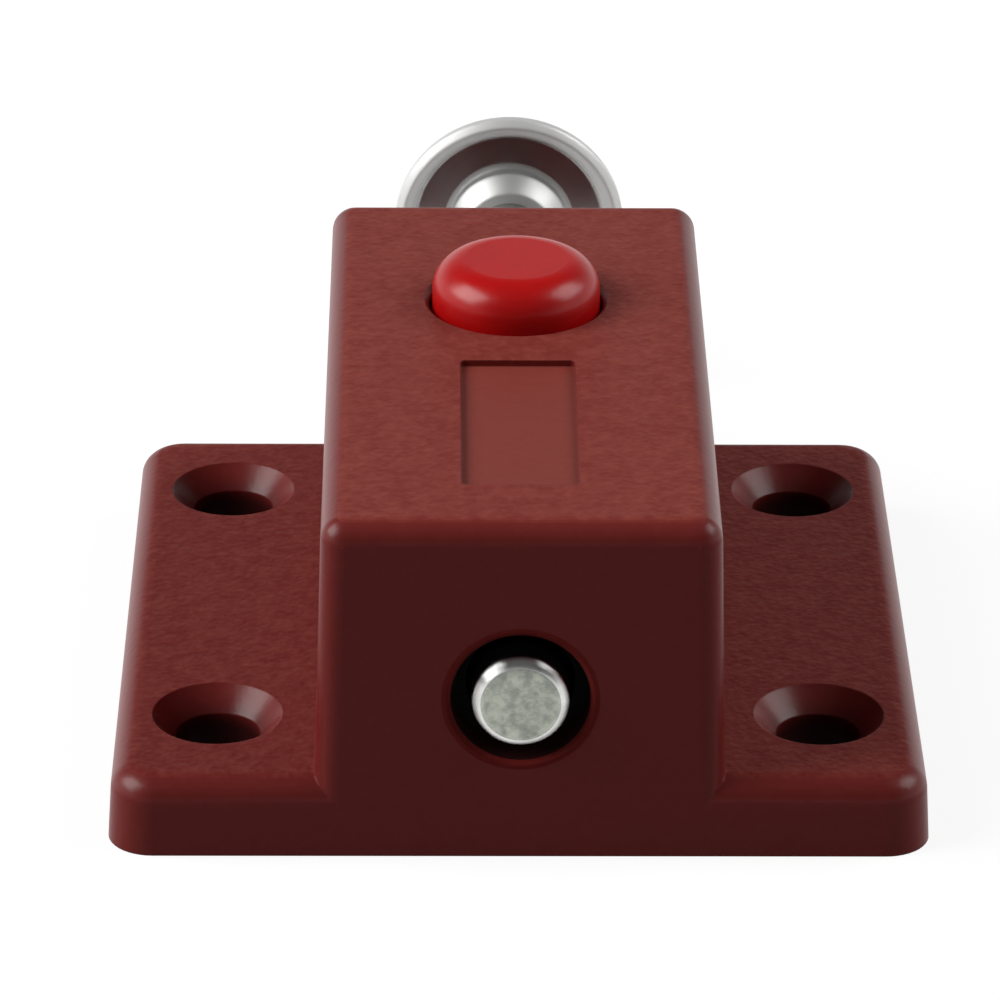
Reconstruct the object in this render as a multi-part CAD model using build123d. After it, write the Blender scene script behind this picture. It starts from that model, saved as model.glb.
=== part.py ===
from build123d import *
import os
from math import cos, pi, radians, sin, sqrt, tan

# Surface-mounted spring bolt with a push-button catch, in millimetres.
# The origin is the centre of the underside. The bolt shoots towards -Y, the knob is at +Y and +Z is up.
# It is modelled cocked: the knob is pulled back and the catch plate holds the bolt against its spring.

# Base plate with its two screw wings
base_width = 50.4
base_depth = 49.2
plate_thickness = 5.0
plate_side_draft = 3.5
plate_corner_r = 2.8
plate_edge_r = 1.6

# Tall block in the middle
block_foot_width = 25.3
block_top_width = 24.0
block_height = 22.4
block_edge_r = 1.5

# Walls of the moulding
front_wall = 2.4
rear_wall = 5.0
roof = 2.4
side_wall = 2.0
channel_wall = 1.5
rib = 1.3
side_pocket_count = 3
wing_skin = 2.2
wing_cell_count = 6
mouth_bevel = 0.3

# Screw holes in the wings, set in from the middle of each wing and from its ends
screw_inset = 0.55
screw_end_margin = 8.7
screw_row_shift = 0.45
screw_hole_r = 2.6
countersink_r = 4.05
screw_boss_wall = 1.7

# Bare label recess in the top
label_width = 7.2
label_depth = 0.4
label_from_front = 5.8
label_to_button = 4.15
label_corner_r = 0.3

# Bolt, turned in one piece
bolt_drop = 0.4
nose_r = 3.0
nose_proud = 0.7
nose_overrun = 0.5
tip_round_r = 0.75
tip_flats = 3
rod_r = 2.5
spigot_r = 2.0
spigot_length = 3.2
groove_r = 2.0
collar_r = 3.4
collar_land = 0.5
cradle_share = 0.5

# Holes that the bolt runs in
front_hole_r = 4.2
rod_clearance = 0.1
collar_clearance = 0.2
slide_clearance = 0.1

# Rings and washer on the bolt
buffer_thickness = 0.8
buffer_hole_r = 3.35
ring_thickness = 0.7
ring_r = 4.6
ring_mouth = 3.4
ring_relief_r = 0.85
ring_relief_angle = 35
washer_thickness = 0.8
washer_r = 5.3
washer_bore_clearance = 0.08

# Main spring, as long as it is when the bolt is cocked
cocked_length = 9.5
spring_wire = 0.8
spring_mean_r = 4.15
spring_turn_gap = 0.7

# Springs are drawn light, with a six-sided wire in straight runs
runs_per_turn = 12
wire_sides = 6

# Pull knob, with its clear gap when the bolt is out
knob_free_gap = 5.8
knob_r = 8.15
knob_bead_r = 0.7
knob_bead_flats = 5
knob_hub_front_r = 3.2
knob_hub_r = 4.2
knob_hub_bevel = 1.3
knob_hub_height = 2.3
knob_dish_depth = 0.9
knob_back_slope = 15
knob_back_flat_r = 3.2

# Release button
button_from_back = 15.95
button_r = 5.4
button_clearance = 0.2
button_proud = 2.8
button_round_r = 2.1
button_flange_r = 6.1
button_flange_thickness = 0.8
button_wall = 1.4
button_top_wall = 1.8
button_travel = 2.0

# Catch plate, a folded strip of steel that hangs in the button
catch_thickness = 0.8
catch_half_width = 5.5
catch_ahead = 0.75
catch_play = 0.1
catch_tab_width = 4.4
catch_tab_height = 3.6
catch_rod_gap = 0.2
catch_collar_gap = 0.35
catch_foot_width = 5.2
catch_foot_length = 5.0
catch_sill = 2.1
catch_bend_r = 0.4
button_boss_width = 7.2
button_boss_depth = 3.2

# Button spring
button_wire = 0.4
button_spring_mean_r = 1.9
button_spring_turns = 4
button_spring_pocket = 1.0

# Cover below the mechanism and its screws
bulkhead = 2.4
cover_thickness = 1.8
cover_half_width = 10.6
cover_margin = 2.4
cover_corner_r = 1.5
cover_clearance = 0.1
tongue_clearance = 0.05
runner_spacing = 5.2
runner_thickness = 1.0
cover_screw_x = 8.6
cover_screw_end = 2.9
cover_screw_r = 0.85
cover_screw_head_r = 1.8
cover_screw_length = 7.0
cover_screw_recess = 0.1
cover_screw_cross = 2.0
cover_screw_slot = 0.5
column_length = 5.2

# How edges are picked out: an upright edge has most of the height, a rim has the hole's radius
upright_share = 0.9
rim_slack = 0.01

# Places worked out from the sizes above
front_y = -base_depth / 2
back_y = base_depth / 2
front_inner = front_y + front_wall
back_inner = back_y - rear_wall
roof_inner = block_height - roof
bolt_z = block_height / 2 - bolt_drop
button_y = back_y - button_from_back

screw_y = screw_row_shift
screw_spacing_x = (base_width + block_foot_width) / 2 - screw_inset
screw_spacing_y = base_depth - 2 * screw_end_margin

label_front = front_y + label_from_front
label_back = button_y - button_r - label_to_button
label_length = label_back - label_front
label_y = (label_front + label_back) / 2

catch_back = button_y - catch_ahead
catch_front = catch_back - catch_thickness
bulkhead_back = catch_front - catch_play
seat_y = bulkhead_back - bulkhead

washer_back = seat_y - cocked_length
ring_back = washer_back - washer_thickness
ring_front = ring_back - ring_thickness
stroke = ring_front - front_inner - buffer_thickness
tip_y = front_y - nose_proud
nose_back = washer_back + nose_overrun
collar_front = catch_back + catch_play / 2
collar_chamfer = collar_r - rod_r
collar_back = collar_front + collar_land + collar_chamfer

channel_r = washer_r + slide_clearance
rod_bore_r = rod_r + rod_clearance
collar_bore_r = collar_r + collar_clearance
window_r = collar_r + catch_collar_gap
chamber_half = catch_half_width + catch_play
flange_bore_r = button_flange_r + button_clearance
flange_bottom = roof_inner - button_flange_thickness
flange_room = flange_bottom - button_travel - catch_play
window_top = bolt_z + button_travel + window_r
foot_end = catch_back + catch_foot_length
catch_foot_z = bolt_z - rod_r - catch_rod_gap - catch_sill
button_spring_y = foot_end - button_spring_mean_r - button_wire

knob_front = back_y + stroke + knob_free_gap
dish_y = knob_front + knob_hub_height

cover_half_depth = base_depth / 2 - cover_margin
cover_screw_y = cover_half_depth - cover_screw_end
pocket_inner = channel_r + channel_wall
pocket_outer = block_top_width / 2 - side_wall


def along_y(radius, start, end):
    """A cylinder on the bolt's axis between two places along Y."""
    middle = (start + end) / 2
    return Pos(0, middle, bolt_z) * Rot(90, 0, 0) * Cylinder(radius, end - start)


def between(x0, x1, y0, y1, z0, z1):
    """A box between two corners."""
    place = Pos((x0 + x1) / 2, (y0 + y1) / 2, (z0 + z1) / 2)
    return place * Box(x1 - x0, y1 - y0, z1 - z0)


def open_below(radius, start, end, bottom):
    """A round-topped channel on the bolt's axis, open down to a height."""
    return along_y(radius, start, end) + between(-radius, radius, start, end, bottom, bolt_z)


def turned(outline):
    """A solid turned about the bolt's axis from a closed outline of radius and Y."""
    return Pos(0, 0, bolt_z) * revolve(make_face(outline), Axis.Y)


def cradle(radius, half_width, start, end):
    """A rib that stands on the underside and carries the lower part of a bore on the bolt's axis."""
    rib_top = bolt_z - cradle_share * radius
    return between(-half_width, half_width, start, end, 0, rib_top) - along_y(radius, start, end)


def wall_prism(foot_width, top_width, height):
    """A block with upright front and back and drafted sides."""
    section = Polyline(
        (-foot_width / 2, 0),
        (foot_width / 2, 0),
        (top_width / 2, height),
        (-top_width / 2, height),
        close=True,
    )
    face = Plane.XZ.offset(-back_y) * make_face(section)
    return extrude(face, base_depth)


def base_plate():
    lean = plate_thickness * tan(radians(plate_side_draft))
    plate = wall_prism(base_width, base_width - 2 * lean, plate_thickness)
    corners = plate.edges().filter_by(lambda e: e.bounding_box().size.Z > plate_thickness * upright_share)
    plate = fillet(corners, plate_corner_r)
    return fillet(plate.edges().group_by(Axis.Z)[-1], plate_edge_r)


def block():
    body = wall_prism(block_foot_width, block_top_width, block_height)
    upright = body.edges().filter_by(lambda e: e.bounding_box().size.Z > block_height * upright_share)
    return fillet(upright + body.edges().group_by(Axis.Z)[-1], block_edge_r)


def rims(body, radius):
    """The round edges of a body that have a radius."""
    return body.edges().filter_by(GeomType.CIRCLE).filter_by(lambda e: abs(e.radius - radius) < rim_slack)


def screw_places():
    return [Pos(0, screw_y, 0) * place for place in GridLocations(screw_spacing_x, screw_spacing_y, 2, 2)]


def countersunk_holes():
    """Through holes for the mounting screws, with a 90 degree countersink."""
    depth = countersink_r - screw_hole_r
    shank = Pos(0, 0, plate_thickness / 2) * Cylinder(screw_hole_r, plate_thickness)
    cone = Pos(0, 0, plate_thickness - depth / 2) * Cone(screw_hole_r, countersink_r, depth)
    return [place * (shank + cone) for place in screw_places()]


def side_pockets():
    """Cores in the thick sides of the block, between the channel's walls and the outer walls."""
    end = cover_half_depth - column_length
    count = side_pocket_count
    length = (2 * end - (count - 1) * rib) / count
    top = roof_inner
    cores = []
    for side in (-1, 1):
        for number in range(count):
            start = -end + number * (length + rib)
            near, far = sorted((side * pocket_inner, side * pocket_outer))
            cores.append(between(near, far, start, start + length, cover_thickness, top))
    return cores


def wing_cores():
    """Cells below each wing: two rows along it, parted by cross ribs and round screw bosses."""
    inner = block_foot_width / 2
    outer = base_width / 2 - side_wall
    end = base_depth / 2 - side_wall
    middle = screw_spacing_x / 2
    top = plate_thickness - wing_skin
    count = wing_cell_count
    length = (2 * end - (count - 1) * rib) / count
    cells = []
    for side in (-1, 1):
        for row in ((inner, middle - rib / 2), (middle + rib / 2, outer)):
            near, far = sorted((side * row[0], side * row[1]))
            for number in range(count):
                start = -end + number * (length + rib)
                cells.append(between(near, far, start, start + length, 0, top))
    boss = Pos(0, 0, top / 2) * Cylinder(screw_hole_r + screw_boss_wall, top)
    return Part() + cells - [place * boss for place in screw_places()]


def cover_screw_places():
    return GridLocations(2 * cover_screw_x, 2 * cover_screw_y, 2, 2)


def make_housing():
    body = base_plate() + block()

    # the bolt's way through the front wall, with a bevelled mouth
    body -= along_y(front_hole_r, front_y, front_inner)
    mouth = rims(body, front_hole_r).group_by(Axis.Y)[0]
    body = chamfer(mouth, mouth_bevel)

    # the button's hole in the roof, with a bevelled mouth
    hole_r = button_r + button_clearance
    body -= Pos(0, button_y, block_height - roof / 2) * Cylinder(hole_r, roof)
    mouth = rims(body, hole_r).group_by(Axis.Z)[-1]
    body = chamfer(mouth, mouth_bevel)

    # the bare label recess
    label = Pos(0, label_y, block_height - label_depth)
    body -= label * extrude(RectangleRounded(label_width, label_length, label_corner_r), label_depth)

    body -= countersunk_holes()

    # spring channel, bulkhead slot, catch chamber and rear rod slot, all open below
    body -= open_below(channel_r, front_inner, seat_y, cover_thickness)
    body -= open_below(collar_bore_r, seat_y, bulkhead_back, cover_thickness)
    body -= between(
        -chamber_half, chamber_half, bulkhead_back, back_inner, cover_thickness, flange_room
    )
    flange_height = roof_inner - flange_room
    body -= Pos(0, button_y, flange_room + flange_height / 2) * Cylinder(flange_bore_r, flange_height)
    body -= open_below(rod_bore_r, back_inner, back_y, 0)

    # seat of the cover, cores and pilot holes
    cover_seat = RectangleRounded(
        2 * (cover_half_width + cover_clearance),
        2 * (cover_half_depth + cover_clearance),
        cover_corner_r,
    )
    body -= extrude(cover_seat, cover_thickness)
    body -= side_pockets()
    body -= wing_cores()
    depth = cover_screw_length
    pilot = Pos(0, 0, cover_thickness + depth / 2) * Cylinder(cover_screw_r, depth)
    body -= [place * pilot for place in cover_screw_places()]
    return body


def make_base_cover():
    plate = extrude(
        RectangleRounded(2 * cover_half_width, 2 * cover_half_depth, cover_corner_r),
        cover_thickness,
    )
    tongue = cradle(rod_bore_r, rod_bore_r - tongue_clearance, back_inner, back_y)
    upstand = cradle(collar_bore_r, collar_bore_r - tongue_clearance, seat_y, bulkhead_back)
    runner_start = front_inner + buffer_thickness + tongue_clearance
    runner_far = (runner_spacing + runner_thickness) / 2
    runner_near = runner_far - runner_thickness
    runners = cradle(channel_r, runner_far, runner_start, seat_y)
    runners -= between(-runner_near, runner_near, runner_start, seat_y, 0, bolt_z)
    cover = plate + tongue + upstand + runners
    pocket_r = button_spring_mean_r + button_wire + catch_play
    pocket_z = cover_thickness - button_spring_pocket / 2
    cover -= Pos(0, button_spring_y, pocket_z) * Cylinder(pocket_r, button_spring_pocket)
    return cover - [place * cover_screw_room() for place in cover_screw_places()]


def cover_screw_room():
    """The countersunk hole that a cover screw fills, from the cover's underside up."""
    mouth_r = cover_screw_head_r + cover_screw_recess
    cone_height = mouth_r - cover_screw_r
    cone = Pos(0, 0, cone_height / 2) * Cone(mouth_r, cover_screw_r, cone_height)
    shank_height = cover_thickness - cone_height
    shank = Pos(0, 0, cover_thickness - shank_height / 2) * Cylinder(cover_screw_r, shank_height)
    return cone + shank


def make_cover_screw():
    """A blunt countersunk self-tapping screw, head down, with a cross recess."""
    cone_height = cover_screw_head_r - cover_screw_r
    start = cover_screw_recess
    head = Pos(0, 0, start + cone_height / 2) * Cone(cover_screw_head_r, cover_screw_r, cone_height)
    shank_start = start + cone_height
    end = cover_thickness + cover_screw_length
    shank = Pos(0, 0, (shank_start + end) / 2) * Cylinder(cover_screw_r, end - shank_start)
    across = Box(cover_screw_cross, cover_screw_slot, cone_height)
    along = Box(cover_screw_slot, cover_screw_cross, cone_height)
    return head + shank - Pos(0, 0, start) * (across + along)


def make_front_buffer():
    return along_y(washer_r, front_inner, front_inner + buffer_thickness) - along_y(
        buffer_hole_r, front_inner, front_inner + buffer_thickness
    )


def make_bolt():
    """A turned bolt. Its tip is rounded in short flats, and a step and a collar follow behind the groove."""
    points = [(0, tip_y)]
    for flat in range(tip_flats + 1):
        angle = radians(90 * flat / tip_flats)
        inset = tip_round_r * (1 - sin(angle))
        points.append((nose_r - inset, tip_y + tip_round_r * (1 - cos(angle))))
    points += [
        (nose_r, ring_front),
        (groove_r, ring_front),
        (groove_r, ring_back),
        (nose_r, ring_back),
        (nose_r, nose_back),
        (rod_r, nose_back + nose_r - rod_r),
        (rod_r, collar_front),
        (collar_r, collar_front),
        (collar_r, collar_front + collar_land),
        (rod_r, collar_back),
        (rod_r, knob_front),
        (spigot_r, knob_front),
        (spigot_r, knob_front + spigot_length),
        (0, knob_front + spigot_length),
    ]
    return turned(Polyline(*points, close=True))


def make_retaining_ring():
    """A pressed ring, open on one side, that snaps into the bolt's groove."""
    flat = Circle(ring_r) - Circle(groove_r)
    flat -= Pos(0, -ring_r / 2) * Rectangle(ring_mouth, ring_r)
    for angle in (ring_relief_angle, 180 - ring_relief_angle):
        flat -= Rot(0, 0, angle) * Pos(groove_r, 0) * Circle(ring_relief_r)
    ring = extrude(flat, ring_thickness)
    return Pos(0, ring_back, bolt_z) * Rot(90, 0, 0) * ring


def make_thrust_washer():
    bore = nose_r + washer_bore_clearance
    return along_y(washer_r, ring_back, washer_back) - along_y(bore, ring_back, washer_back)


def coil(mean_r, wire, height, turns):
    """A compression spring with both ends ground flat, standing on the XY plane."""
    runs = turns * runs_per_turn
    points = []
    for run in range(runs + 1):
        angle = 2 * pi * run / runs_per_turn
        points.append((mean_r * cos(angle), mean_r * sin(angle), height * run / runs))
    path = Polyline(*points)
    start = Plane(path @ 0, x_dir=(0, 0, 1), z_dir=path % 0)
    section = start * RegularPolygon(wire / 2, wire_sides)
    spring = sweep(section, path=path, transition=Transition.RIGHT)
    spring = split(spring, Plane.XY, keep=Keep.TOP)
    return split(spring, Plane.XY.offset(height), keep=Keep.BOTTOM)


def make_bolt_spring():
    turns = int(cocked_length / (spring_wire + spring_turn_gap))
    spring = coil(spring_mean_r, spring_wire, cocked_length, turns)
    return Pos(0, seat_y, bolt_z) * Rot(90, 0, 0) * spring


def make_pull_knob():
    """A dished disc with a beaded rim, a bevelled hub in front and a blind hole for the spigot."""
    bead_y = dish_y - knob_dish_depth + knob_bead_r
    bead_x = knob_r - knob_bead_r
    bead_start = 180
    bead_end = knob_back_slope - 90
    points = [
        (spigot_r, knob_front + spigot_length),
        (spigot_r, knob_front),
        (knob_hub_front_r, knob_front),
        (knob_hub_r, knob_front + knob_hub_bevel),
        (knob_hub_r, dish_y),
        (bead_x - knob_bead_r, dish_y),
    ]
    for flat in range(knob_bead_flats + 1):
        angle = radians(bead_start + (bead_end - bead_start) * flat / knob_bead_flats)
        points.append((bead_x + knob_bead_r * cos(angle), bead_y - knob_bead_r * sin(angle)))
    rim_r, rim_y = points[-1]
    back_y_end = rim_y + (rim_r - knob_back_flat_r) * tan(radians(knob_back_slope))
    points += [(knob_back_flat_r, back_y_end), (0, back_y_end), (0, knob_front + spigot_length)]
    return turned(Polyline(*points, close=True))


def make_release_button():
    top = block_height + button_proud
    shoulder = top - button_round_r
    flat_r = button_r - button_round_r
    diagonal = button_round_r * sqrt(0.5)
    side = Polyline(
        (0, top),
        (0, flange_bottom),
        (button_flange_r, flange_bottom),
        (button_flange_r, roof_inner),
        (button_r, roof_inner),
        (button_r, shoulder),
    )
    rounding = ThreePointArc(
        (button_r, shoulder), (flat_r + diagonal, shoulder + diagonal), (flat_r, top)
    )
    outline = make_face([side, rounding, Line((flat_r, top), (0, top))])
    cap = Pos(0, button_y, 0) * revolve(Plane.XZ * outline, Axis.Z)
    core_r = button_r - button_wall
    core_top = top - button_top_wall
    core_height = core_top - flange_bottom
    cap -= Pos(0, button_y, flange_bottom + core_height / 2) * Cylinder(core_r, core_height)
    boss_middle = (catch_front + catch_back) / 2
    boss = between(
        -button_boss_width / 2,
        button_boss_width / 2,
        boss_middle - button_boss_depth / 2,
        boss_middle + button_boss_depth / 2,
        flange_bottom,
        core_top,
    )
    inside = Pos(0, button_y, flange_bottom + core_height / 2) * Cylinder(core_r, core_height)
    slot = between(
        -catch_tab_width / 2,
        catch_tab_width / 2,
        catch_front,
        catch_back,
        flange_bottom,
        flange_bottom + catch_tab_height,
    )
    return cap + (boss & inside) - slot


def make_catch_plate():
    """Upright plate with a keyhole window, a tab on top and a foot folded to the rear."""
    upright_bottom = catch_foot_z + catch_thickness + catch_bend_r
    upright = between(
        -catch_half_width, catch_half_width, catch_front, catch_back, upright_bottom, flange_bottom
    )
    tab = between(
        -catch_tab_width / 2,
        catch_tab_width / 2,
        catch_front,
        catch_back,
        flange_bottom,
        flange_bottom + catch_tab_height,
    )
    outer = catch_bend_r + catch_thickness
    bend_y = catch_front + outer
    bend_z = catch_foot_z + outer
    diagonal = sqrt(0.5)
    fold = make_face(
        [
            Polyline(
                (catch_back, bend_z + catch_thickness),
                (catch_front, bend_z + catch_thickness),
                (catch_front, bend_z),
            ),
            ThreePointArc(
                (catch_front, bend_z),
                (bend_y - outer * diagonal, bend_z - outer * diagonal),
                (bend_y, catch_foot_z),
            ),
            Polyline(
                (bend_y, catch_foot_z),
                (foot_end, catch_foot_z),
                (foot_end, catch_foot_z + catch_thickness),
                (bend_y, catch_foot_z + catch_thickness),
            ),
            ThreePointArc(
                (bend_y, catch_foot_z + catch_thickness),
                (bend_y - catch_bend_r * diagonal, bend_z - catch_bend_r * diagonal),
                (catch_back, bend_z),
            ),
            Line((catch_back, bend_z), (catch_back, bend_z + catch_thickness)),
        ]
    )
    foot = extrude(Plane.YZ.offset(-catch_foot_width / 2) * fold, catch_foot_width)
    plate = upright + tab + foot
    plate -= along_y(rod_r + catch_rod_gap, catch_front, catch_back)
    plate -= Pos(0, 0, button_travel) * along_y(window_r, catch_front, catch_back)
    return plate


def make_button_spring():
    bottom = cover_thickness - button_spring_pocket
    spring = coil(button_spring_mean_r, button_wire, catch_foot_z - bottom, button_spring_turns)
    return Pos(0, button_spring_y, bottom) * spring


pieces = {
    "housing": make_housing(),
    "base_cover": make_base_cover(),
    "front_buffer": make_front_buffer(),
    "bolt": make_bolt(),
    "retaining_ring": make_retaining_ring(),
    "thrust_washer": make_thrust_washer(),
    "bolt_spring": make_bolt_spring(),
    "pull_knob": make_pull_knob(),
    "release_button": make_release_button(),
    "catch_plate": make_catch_plate(),
    "button_spring": make_button_spring(),
}
for number, place in enumerate(cover_screw_places(), 1):
    pieces[f"cover_screw_{number}"] = place * make_cover_screw()

os.makedirs("parts", exist_ok=True)
for name, piece in pieces.items():
    export_step(piece, f"parts/{name}.step")
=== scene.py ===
from math import cos, radians, sin
from types import SimpleNamespace

import bpy
from mathutils import Matrix, Vector

# Spring-loaded bolt, cocked: maroon moulded housing, red button, steel bolt, plated pull knob.
# Everything is in metres, -Y is the way the bolt shoots.

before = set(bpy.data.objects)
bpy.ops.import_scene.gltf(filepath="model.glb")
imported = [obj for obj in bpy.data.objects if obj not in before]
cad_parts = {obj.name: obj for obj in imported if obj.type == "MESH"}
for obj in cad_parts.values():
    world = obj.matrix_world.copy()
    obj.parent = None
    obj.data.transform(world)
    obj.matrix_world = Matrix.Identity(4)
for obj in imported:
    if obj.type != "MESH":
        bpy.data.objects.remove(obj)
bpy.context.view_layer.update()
mm = 0.001


def showStage(words):
    print("spring bolt:", words)


# camera

camera = {
    "place": (-5.06 * mm, -345.8 * mm, 181.0 * mm),
    "down": 26.02,  # degrees below level
    "yaw": 0.665,
    "roll": 0.4,
    "lens": 217.1,
    "sensor": 36,  # width in millimetres, as the lens
    "near": 0.01,
    "far": 50,
}


def placeCamera():
    data = bpy.data.cameras.new("photoCamera")
    data.lens = camera["lens"]
    data.sensor_width = camera["sensor"]
    data.clip_start = camera["near"]
    data.clip_end = camera["far"]
    viewer = bpy.data.objects.new("photoCamera", data)
    bpy.context.scene.collection.objects.link(viewer)
    turn = Matrix.Rotation(-radians(camera["yaw"]), 4, "Z")
    tilt = Matrix.Rotation(radians(90 - camera["down"]), 4, "X")
    roll = Matrix.Rotation(radians(camera["roll"]), 4, "Z")
    viewer.matrix_world = Matrix.Translation(camera["place"]) @ turn @ tilt @ roll
    bpy.context.scene.camera = viewer


# node helpers

def newMaterial(name):
    material = bpy.data.materials.new(name)
    material.use_nodes = True
    tree = material.node_tree
    shader = tree.nodes["Principled BSDF"]
    return material, tree, shader


def setSocket(tree, socket, value):  # value is a number, a colour or another node's output
    if isinstance(value, bpy.types.NodeSocket):
        tree.links.new(value, socket)
    else:
        socket.default_value = value


def addNode(tree, kind, inputs=None, **settings):
    node = tree.nodes.new(kind)
    for key, value in settings.items():
        setattr(node, key, value)
    for key, value in (inputs or {}).items():
        setSocket(tree, node.inputs[key], value)
    return node


def mathNode(tree, operation, first, second=0.0, third=0.0):
    values = {0: first, 1: second, 2: third}
    return addNode(tree, "ShaderNodeMath", values, operation=operation).outputs[0]


def times(tree, first, second):
    return mathNode(tree, "MULTIPLY", first, second)


def addShare(tree, share, weight, total):
    return mathNode(tree, "MULTIPLY_ADD", share, weight, total)


def less(tree, first, second):
    return mathNode(tree, "LESS_THAN", first, second)


def more(tree, first, second):
    return mathNode(tree, "GREATER_THAN", first, second)


def minus(tree, first, second):
    return mathNode(tree, "SUBTRACT", first, second)


def outside(tree, share):
    return minus(tree, 1.0, share)


def reach(tree, first, second):  # distance from an axis
    square = addShare(tree, first, first, times(tree, second, second))
    return mathNode(tree, "SQRT", square)


def smoothBetween(tree, value, low, high):  # 0 below low, 1 above high
    limits = {"Value": value, "From Min": low, "From Max": high, "To Min": 0.0, "To Max": 1.0}
    node = addNode(tree, "ShaderNodeMapRange", limits, interpolation_type="SMOOTHSTEP")
    return node.outputs["Result"]


def along(tree, vector, axis):  # one axis of a place or a direction
    return addNode(tree, "ShaderNodeSeparateXYZ", {0: vector}).outputs[axis]


def placeOnPiece(tree):
    return addNode(tree, "ShaderNodeTexCoord").outputs["Object"]


def mixColour(tree, share, first, second):
    node = addNode(tree, "ShaderNodeMix", data_type="RGBA")
    for number, value in ((0, share), (6, first), (7, second)):  # factor, colour A, colour B
        setSocket(tree, node.inputs[number], value)
    return node.outputs[2]


def cloudy(tree, coords, size, detail, roughness=0.5):
    noise = {"Vector": coords, "Scale": 1 / size, "Detail": detail, "Roughness": roughness}
    return addNode(tree, "ShaderNodeTexNoise", noise).outputs["Fac"]


def bumpy(tree, shader, height, depth, edge):  # edge is a small round on every edge, in the shading only
    soft = addNode(tree, "ShaderNodeBevel", {"Radius": edge}, samples=4).outputs["Normal"]
    bump = {"Strength": 1.0, "Distance": depth, "Height": height, "Normal": soft}
    setSocket(tree, shader.inputs["Normal"], addNode(tree, "ShaderNodeBump", bump).outputs["Normal"])


# housing: moulded plastic, grained on its flat tops and smoother on its rounds

housingPlastic = {
    "colour": (0.163, 0.0165, 0.0145, 1),
    "paleColour": (0.245, 0.049, 0.037, 1),
    "flatFrom": 0.9,  # how level a face is, 1 for dead level
    "flatTo": 0.985,
    "filletFrom": 0.12,
    "filletTo": 0.35,
    "grainSize": 0.55 * mm,
    "grainDepth": 0.04 * mm,
    "grainPaler": 0.3,
    "speckFrom": 0.4,  # noise values between which a speck of grain turns pale
    "speckTo": 0.7,
    "sideGrain": 0.2,  # share of the grain on the sides and in the label recess
    "pitsPerGrain": 1.2,
    "pitShare": 0.6,
    "mottleSize": 1.3 * mm,
    "mottlePaler": 0.3,
    "mottleFrom": 0.3,
    "mottleTo": 0.7,
    "cloudSize": 8 * mm,
    "cloudPaler": 0.2,
    "roughness": 0.5,
    "smoothRoughness": 0.28,
    "specular": 0.1,
    "filletShine": 0.17,  # extra shine of rounded edges and countersinks
    "edge": 0.15 * mm,
    "blockFromZ": 11.2 * mm,  # a level face above this is the block's top
    # tuned to the photo, where the block's top reads paler than the wings
    "blockPaintedLight": 0.32,  # painted light: the block's level top is mixed paler than the wings
    "labelX": 3.6 * mm,
    "labelFrontY": -18.8 * mm,
    "labelBackY": -0.9 * mm,
    "labelPaintedSheen": 0.45,  # painted sheen: the label recess is mixed paler too, though it is all one moulding
    "screwX": 18.65 * mm,
    "screwY": 15.9 * mm,
    "screwShift": 0.45 * mm,
    "screwR": 4.07 * mm,
    "shankR": 2.65 * mm,
    # tuned dark as in the photo, where it may be shadow or grime
    "holeShadeColour": (0.03, 0.005, 0.005, 1),  # painted shade: the screw holes turn darker towards their bottom
    "shadeTop": 4.8 * mm,
    "shadeBottom": 2.6 * mm,
    "dullShine": 0.02,
    "boltZ": 10.8 * mm,
    "boreR": 4.25 * mm,
    "mouthR": 4.8 * mm,
    "boreFrom": -20 * mm,
    "boreShadeColour": (0.03, 0.008, 0.008, 1),  # painted shade in the bolt's hole; tuned in the same way
}


def findTops(tree, look, place):  # shares from 0 to 1 of the level, labelled and rounded faces
    geometry = addNode(tree, "ShaderNodeNewGeometry")
    level = (look["flatFrom"], look["flatTo"])
    flat = smoothBetween(tree, along(tree, geometry.outputs["True Normal"], "Z"), *level)
    inLabelX = less(tree, mathNode(tree, "ABSOLUTE", place.x), look["labelX"])
    behindFront = more(tree, place.y, look["labelFrontY"])
    beforeBack = less(tree, place.y, look["labelBackY"])
    inLabelY = times(tree, behindFront, beforeBack)
    label = times(tree, times(tree, inLabelX, inLabelY), flat)
    block = times(tree, flat, more(tree, place.z, look["blockFromZ"]))
    grained = times(tree, flat, outside(tree, label))
    grained = addShare(tree, grained, 1 - look["sideGrain"], look["sideGrain"])
    up = along(tree, geometry.outputs["Normal"], "Z")
    turned = smoothBetween(tree, up, look["filletFrom"], look["filletTo"])
    fillet = times(tree, turned, outside(tree, smoothBetween(tree, up, *level)))
    return SimpleNamespace(label=label, block=block, grained=grained, fillet=fillet)


def findHoles(tree, look, place):  # shares of the bolt's hole and of the four screw holes
    fromBolt = reach(tree, place.x, minus(tree, place.z, look["boltZ"]))
    atFront = less(tree, place.y, look["boreFrom"])
    bore = times(tree, atFront, less(tree, fromBolt, look["boreR"]))
    mouth = times(tree, atFront, less(tree, fromBolt, look["mouthR"]))

    acrossScrew = minus(tree, mathNode(tree, "ABSOLUTE", place.x), look["screwX"])
    alongScrew = mathNode(tree, "ABSOLUTE", minus(tree, place.y, look["screwShift"]))
    fromScrew = reach(tree, acrossScrew, minus(tree, alongScrew, look["screwY"]))
    shank = less(tree, fromScrew, look["shankR"])
    inCone = more(tree, place.z, look["shadeBottom"])
    holeR = addShare(tree, inCone, look["screwR"] - look["shankR"], look["shankR"])
    # painted shade, darker towards the bottom of each screw hole
    unshaded = smoothBetween(tree, place.z, look["shadeBottom"], look["shadeTop"])
    holeShade = times(tree, less(tree, fromScrew, holeR), outside(tree, unshaded))
    return SimpleNamespace(bore=bore, holeShade=holeShade, dull=mathNode(tree, "MAXIMUM", shank, mouth))


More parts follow.
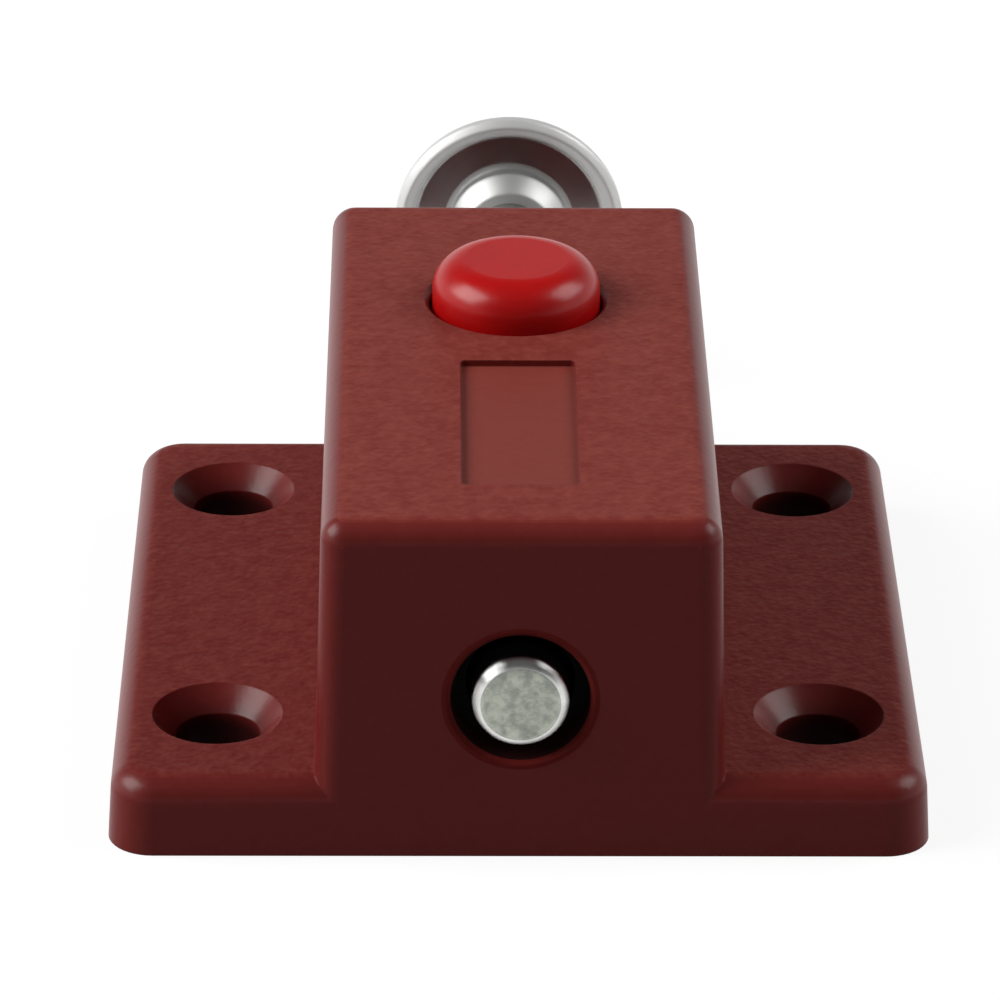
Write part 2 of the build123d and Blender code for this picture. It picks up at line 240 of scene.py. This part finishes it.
def makeHousingPlastic():
    look = housingPlastic
    material, tree, shader = newMaterial("housingPlastic")
    coords = placeOnPiece(tree)
    x, y, z = (along(tree, coords, axis) for axis in "XYZ")
    place = SimpleNamespace(x=x, y=y, z=z)
    tops = findTops(tree, look, place)
    holes = findHoles(tree, look, place)

    grain = cloudy(tree, coords, look["grainSize"], detail=1.5)
    pits = {"Vector": coords, "Scale": look["pitsPerGrain"] / look["grainSize"], "Randomness": 1.0}
    cells = addNode(tree, "ShaderNodeTexVoronoi", pits).outputs["Distance"]
    height = times(tree, addShare(tree, cells, look["pitShare"], grain), tops.grained)
    bumpy(tree, shader, height, look["grainDepth"], look["edge"])

    cloud = cloudy(tree, coords, look["cloudSize"], detail=2.0)
    mottle = cloudy(tree, coords, look["mottleSize"], detail=1.0)
    mottle = smoothBetween(tree, mottle, look["mottleFrom"], look["mottleTo"])
    speck = smoothBetween(tree, grain, look["speckFrom"], look["speckTo"])
    paler = times(tree, cloud, look["cloudPaler"])
    paler = addShare(tree, mottle, look["mottlePaler"], paler)
    paler = addShare(tree, speck, look["grainPaler"], paler)
    paler = times(tree, paler, tops.grained)
    # painted light: the block's level top is mixed paler
    paler = addShare(tree, tops.block, look["blockPaintedLight"], paler)
    # painted sheen: the label recess is mixed paler
    paler = addShare(tree, tops.label, look["labelPaintedSheen"], paler)
    colour = mixColour(tree, paler, look["colour"], look["paleColour"])
    # painted shade: the bolt's hole is mixed dark
    colour = mixColour(tree, holes.bore, colour, look["boreShadeColour"])
    # painted shade deep in the screw holes
    colour = mixColour(tree, holes.holeShade, colour, look["holeShadeColour"])
    setSocket(tree, shader.inputs["Base Color"], colour)

    span = look["roughness"] - look["smoothRoughness"]
    rough = addShare(tree, tops.grained, span, look["smoothRoughness"])
    setSocket(tree, shader.inputs["Roughness"], rough)
    shine = addShare(tree, tops.fillet, look["filletShine"], look["specular"])
    shine = times(tree, shine, outside(tree, holes.dull))
    shine = addShare(tree, holes.dull, look["dullShine"], shine)
    setSocket(tree, shader.inputs["Specular IOR Level"], look["specular"])  # for an export without the link
    setSocket(tree, shader.inputs["Specular IOR Level"], shine)
    return material


# plain moulded and plated finishes, whose colour and roughness drift together over the piece

driftRange = (0.35, 0.65)  # the noise values between which one colour turns to the other


def unevenFinish(name, look):
    material, tree, shader = newMaterial(name)
    coords = placeOnPiece(tree)
    drift = cloudy(tree, coords, look["driftSize"], detail=4.0, roughness=0.55)
    share = smoothBetween(tree, drift, *driftRange)
    colour = mixColour(tree, share, look["colour"], look["secondColour"])
    rough = addShare(tree, share, look["roughEnd"] - look["roughStart"], look["roughStart"])
    bumpy(tree, shader, cloudy(tree, coords, look["bumpSize"], detail=2.0), look["bumpDepth"], look["edge"])
    setSocket(tree, shader.inputs["Base Color"], colour)
    setSocket(tree, shader.inputs["Roughness"], rough)
    setSocket(tree, shader.inputs["Metallic"], look["metallic"])
    setSocket(tree, shader.inputs["Specular IOR Level"], look["specular"])
    return SimpleNamespace(
        material=material, tree=tree, shader=shader, coords=coords, colour=colour, rough=rough
    )


# release button

buttonPlastic = {
    "colour": (0.5, 0.003, 0.003, 1),
    "secondColour": (0.46, 0.0025, 0.003, 1),
    "driftSize": 4 * mm,
    "roughStart": 0.28,
    "roughEnd": 0.31,
    "bumpSize": 1.5 * mm,
    "bumpDepth": 0.002 * mm,
    "edge": 0.15 * mm,
    "metallic": 0.0,
    "specular": 0.38,
    "glowDepth": 1.2 * mm,  # how far light creeps below the surface
    "glowColour": (1.0, 0.05, 0.04),  # red goes furthest
    "glowShare": 0.6,
}


def makeButtonPlastic():
    look = buttonPlastic
    button = unevenFinish("buttonPlastic", look)
    button.shader.inputs["Subsurface Weight"].default_value = look["glowShare"]
    button.shader.inputs["Subsurface Radius"].default_value = look["glowColour"]
    button.shader.inputs["Subsurface Scale"].default_value = look["glowDepth"]
    return button.material


# pull knob

knobPlating = {
    "colour": (0.62, 0.625, 0.61, 1),
    "secondColour": (0.56, 0.565, 0.56, 1),
    "driftSize": 5 * mm,
    "roughStart": 0.17,
    "roughEnd": 0.21,
    "bumpSize": 2 * mm,
    "bumpDepth": 0.002 * mm,
    "edge": 0.4 * mm,
    "metallic": 1.0,
    "specular": 0.5,
    "axisZ": 10.8 * mm,
    "hubR": 4.4 * mm,
    "beadR": 6.8 * mm,
    "blend": 0.3 * mm,
    "hubExtra": 0.35,  # the hub and the bead are less polished than the dish between them
    "beadExtra": 0.27,
    # with the half metal below, tuned to the photo's soft pale rim
    "beadSheenColour": (0.8, 0.8, 0.79, 1),  # painted reflection: a pale rim, with the half metal below
    "beadMetal": 0.5,
    "paleToY": 47.9 * mm,  # the painted pale rim fades out behind this depth
    "plainFromY": 48.7 * mm,
}


def makeKnobPlating():
    look = knobPlating
    knob = unevenFinish("knobPlating", look)
    tree = knob.tree
    x, y, z = (along(tree, knob.coords, axis) for axis in "XYZ")
    radius = reach(tree, x, minus(tree, z, look["axisZ"]))
    onHub = outside(tree, smoothBetween(tree, radius, look["hubR"], look["hubR"] + look["blend"]))
    onBead = smoothBetween(tree, radius, look["beadR"] - look["blend"], look["beadR"])
    atBack = smoothBetween(tree, y, look["paleToY"], look["plainFromY"])
    onBead = times(tree, onBead, outside(tree, atBack))
    rough = addShare(tree, onHub, look["hubExtra"], knob.rough)
    rough = addShare(tree, onBead, look["beadExtra"], rough)
    metal = addShare(tree, onBead, look["beadMetal"] - look["metallic"], look["metallic"])
    # painted reflection: the bead's front is mixed pale
    colour = mixColour(tree, onBead, knob.colour, look["beadSheenColour"])
    setSocket(tree, knob.shader.inputs["Roughness"], rough)
    setSocket(tree, knob.shader.inputs["Base Color"], colour)
    setSocket(tree, knob.shader.inputs["Metallic"], metal)
    return knob.material


# bolt

boltSteel = {
    "colour": (0.72, 0.72, 0.70, 1),
    "secondColour": (0.64, 0.645, 0.63, 1),
    "driftSize": 1.2 * mm,
    "roughStart": 0.12,
    "roughEnd": 0.18,
    "bumpSize": 0.4 * mm,
    "bumpDepth": 0.002 * mm,
    "edge": 0.8 * mm,
    "metallic": 1.0,
    "specular": 0.5,
    "endToY": -25.25 * mm,  # the end face lies before this
    "faceFrom": 0.9,  # how squarely it points forward, 1 for dead square
    "faceTo": 0.98,
    "endColour": (0.24, 0.255, 0.225, 1),  # dull end face, as the photo shows it
    "endPale": (0.46, 0.475, 0.41, 1),
    "endMottle": 0.9 * mm,
    "mottleFrom": 0.3,
    "mottleTo": 0.7,
    "endRoughness": 0.5,
}


def makeBoltSteel():
    look = boltSteel
    bolt = unevenFinish("boltSteel", look)
    tree = bolt.tree
    normal = addNode(tree, "ShaderNodeNewGeometry").outputs["True Normal"]
    forward = times(tree, along(tree, normal, "Y"), -1.0)
    atTip = less(tree, along(tree, bolt.coords, "Y"), look["endToY"])
    endFace = times(tree, atTip, smoothBetween(tree, forward, look["faceFrom"], look["faceTo"]))
    mottle = cloudy(tree, bolt.coords, look["endMottle"], detail=5.0, roughness=0.7)
    mottle = smoothBetween(tree, mottle, look["mottleFrom"], look["mottleTo"])
    dull = mixColour(tree, mottle, look["endColour"], look["endPale"])
    setSocket(tree, bolt.shader.inputs["Base Color"], mixColour(tree, endFace, bolt.colour, dull))
    rough = addShare(tree, endFace, look["endRoughness"] - look["roughEnd"], bolt.rough)
    setSocket(tree, bolt.shader.inputs["Roughness"], rough)
    return bolt.material


# cover below the housing

coverPlastic = {
    "colour": (0.163, 0.0165, 0.0145, 1),
    "secondColour": (0.175, 0.021, 0.0175, 1),
    "driftSize": 3 * mm,
    "roughStart": 0.32,
    "roughEnd": 0.38,
    "bumpSize": 0.5 * mm,
    "bumpDepth": 0.004 * mm,
    "edge": 0.1 * mm,
    "metallic": 0.0,
    "specular": 0.1,
}


def makeCoverPlastic():
    return unevenFinish("coverPlastic", coverPlastic).material


# buffer ring behind the front wall

bufferRubber = {
    "colour": (0.004, 0.004, 0.004, 1),
    "secondColour": (0.007, 0.006, 0.006, 1),
    "driftSize": 1 * mm,
    "roughStart": 0.8,
    "roughEnd": 0.9,
    "bumpSize": 0.3 * mm,
    "bumpDepth": 0.01 * mm,
    "edge": 0.1 * mm,
    "metallic": 0.0,
    "specular": 0.15,
}


def makeBufferRubber():
    return unevenFinish("bufferRubber", bufferRubber).material


# both springs and the retaining ring

springSteel = {
    "colour": (0.45, 0.45, 0.44, 1),
    "secondColour": (0.36, 0.36, 0.36, 1),
    "driftSize": 1 * mm,
    "roughStart": 0.25,
    "roughEnd": 0.4,
    "bumpSize": 0.2 * mm,
    "bumpDepth": 0.002 * mm,
    "edge": 0.2 * mm,
    "metallic": 1.0,
    "specular": 0.5,
}


def makeSpringSteel():
    return unevenFinish("springSteel", springSteel).material


# thrust washer, catch plate and cover screws

zincPlate = {
    "colour": (0.62, 0.62, 0.60, 1),
    "secondColour": (0.55, 0.56, 0.57, 1),
    "driftSize": 1.5 * mm,
    "roughStart": 0.28,
    "roughEnd": 0.42,
    "bumpSize": 0.3 * mm,
    "bumpDepth": 0.003 * mm,
    "edge": 0.1 * mm,
    "metallic": 1.0,
    "specular": 0.5,
}


def makeZincPlate():
    return unevenFinish("zincPlate", zincPlate).material


def dressPieces():
    spring = makeSpringSteel()
    zinc = makeZincPlate()
    finishes = {
        "housing": makeHousingPlastic(),
        "base_cover": makeCoverPlastic(),
        "release_button": makeButtonPlastic(),
        "pull_knob": makeKnobPlating(),
        "bolt": makeBoltSteel(),
        "front_buffer": makeBufferRubber(),
        "bolt_spring": spring,
        "button_spring": spring,
        "retaining_ring": spring,
        "thrust_washer": zinc,
        "catch_plate": zinc,
    }
    for name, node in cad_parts.items():
        node.data.materials.clear()
        node.data.materials.append(zinc if name.startswith("cover_screw") else finishes[name])


# floor

floorPaper = {
    "colour": (0.2, 0.2, 0.2, 1),
    "roughness": 0.9,
    "specular": 0.1,
    "glow": 0.86,  # only for the eye, and for what metal mirrors
    "size": 6.0,
    "drop": 0.02 * mm,  # keeps the underside clear of the floor's own plane
}


def makeFloorPaper():
    look = floorPaper
    material, tree, shader = newMaterial("floorPaper")
    shader.inputs["Base Color"].default_value = look["colour"]
    shader.inputs["Roughness"].default_value = look["roughness"]
    shader.inputs["Specular IOR Level"].default_value = look["specular"]
    path = addNode(tree, "ShaderNodeLightPath")
    seen = mathNode(tree, "MAXIMUM", path.outputs["Is Camera Ray"], path.outputs["Is Glossy Ray"])
    seen = mathNode(tree, "MAXIMUM", seen, path.outputs["Is Transmission Ray"])
    glow = {"Color": (1, 1, 1, 1), "Strength": times(tree, seen, look["glow"])}
    white = addNode(tree, "ShaderNodeEmission", glow)
    lit = addNode(tree, "ShaderNodeAddShader", {0: shader.outputs[0], 1: white.outputs[0]})
    setSocket(tree, tree.nodes["Material Output"].inputs["Surface"], lit.outputs[0])
    return material


def makeFloor():
    half = floorPaper["size"] / 2
    low = -floorPaper["drop"]
    corners = [(-half, -half, low), (half, -half, low), (half, half, low), (-half, half, low)]
    mesh = bpy.data.meshes.new("studioFloor")
    mesh.from_pydata(corners, [], [(0, 1, 2, 3)])
    mesh.materials.append(makeFloorPaper())
    floor = bpy.data.objects.new("studioFloor", mesh)
    bpy.context.scene.collection.objects.link(floor)


# sky: white for the eye, faint as a light, and for what metal mirrors a white room, grey overhead and in front

studioSky = {
    "forCamera": 1.0,
    "fill": 0.05,
    "ceiling": 0.12,  # what polished metal sees overhead, tuned to the photo
    "ceilingStarts": 0.05,  # sines of the heights where white turns to the ceiling
    "ceilingEnds": 0.5,
    "frontRoom": 0.1,  # what it sees level towards -Y
    "frontStarts": 0.3,
    "frontEnds": 0.9,
}


def makeSky():
    look = studioSky
    world = bpy.data.worlds.new("studioSky")
    bpy.context.scene.world = world
    world.use_nodes = True
    tree = world.node_tree
    sky = tree.nodes["Background"]
    sky.inputs["Color"].default_value = (1, 1, 1, 1)
    path = addNode(tree, "ShaderNodeLightPath")
    way = addNode(tree, "ShaderNodeTexCoord").outputs["Generated"]
    overhead = smoothBetween(tree, along(tree, way, "Z"), look["ceilingStarts"], look["ceilingEnds"])
    forward = times(tree, along(tree, way, "Y"), -1.0)
    front = smoothBetween(tree, forward, look["frontStarts"], look["frontEnds"])
    level = addShare(tree, front, look["frontRoom"] - 1.0, 1.0)
    mirrored = addShare(tree, overhead, minus(tree, look["ceiling"], level), level)
    shiny = mathNode(tree, "MAXIMUM", path.outputs["Is Glossy Ray"], path.outputs["Is Transmission Ray"])
    inMirror = times(tree, shiny, minus(tree, mirrored, look["fill"]))
    span = look["forCamera"] - look["fill"]
    toCamera = addShare(tree, path.outputs["Is Camera Ray"], span, look["fill"])
    setSocket(tree, sky.inputs["Strength"], mathNode(tree, "ADD", toCamera, inMirror))


# lamps, placed by degrees from +Y towards +X and degrees above level

leftBox = {
    "azimuth": -95,
    "height": 36,
    "distance": 0.6,
    "aimZ": 15 * mm,
    "size": (0.45, 0.4),
    "power": 3.85,
}
rightBox = {
    "azimuth": 84,
    "height": 39,
    "distance": 0.6,
    "aimZ": 15 * mm,
    "size": (0.4, 0.35),
    "power": 1.95,
}


def makeSoftBox(name, look):
    azimuth, height = radians(look["azimuth"]), radians(look["height"])
    way = Vector((sin(azimuth) * cos(height), cos(azimuth) * cos(height), sin(height)))
    data = bpy.data.lights.new(name, "AREA")
    data.shape = "RECTANGLE"
    data.size, data.size_y = look["size"]
    data.energy = look["power"]
    lamp = bpy.data.objects.new(name, data)
    bpy.context.scene.collection.objects.link(lamp)
    lamp.location = way * look["distance"] + Vector((0, 0, look["aimZ"]))
    lamp.rotation_euler = way.to_track_quat("Z", "Y").to_euler()


placeCamera()
showStage("camera placed")
dressPieces()
showStage("finishes on the pieces")
makeFloor()
makeSky()
showStage("floor and sky made")
makeSoftBox("leftBox", leftBox)
makeSoftBox("rightBox", rightBox)
showStage("studio lit")

bpy.context.scene.view_settings.view_transform = "Standard"
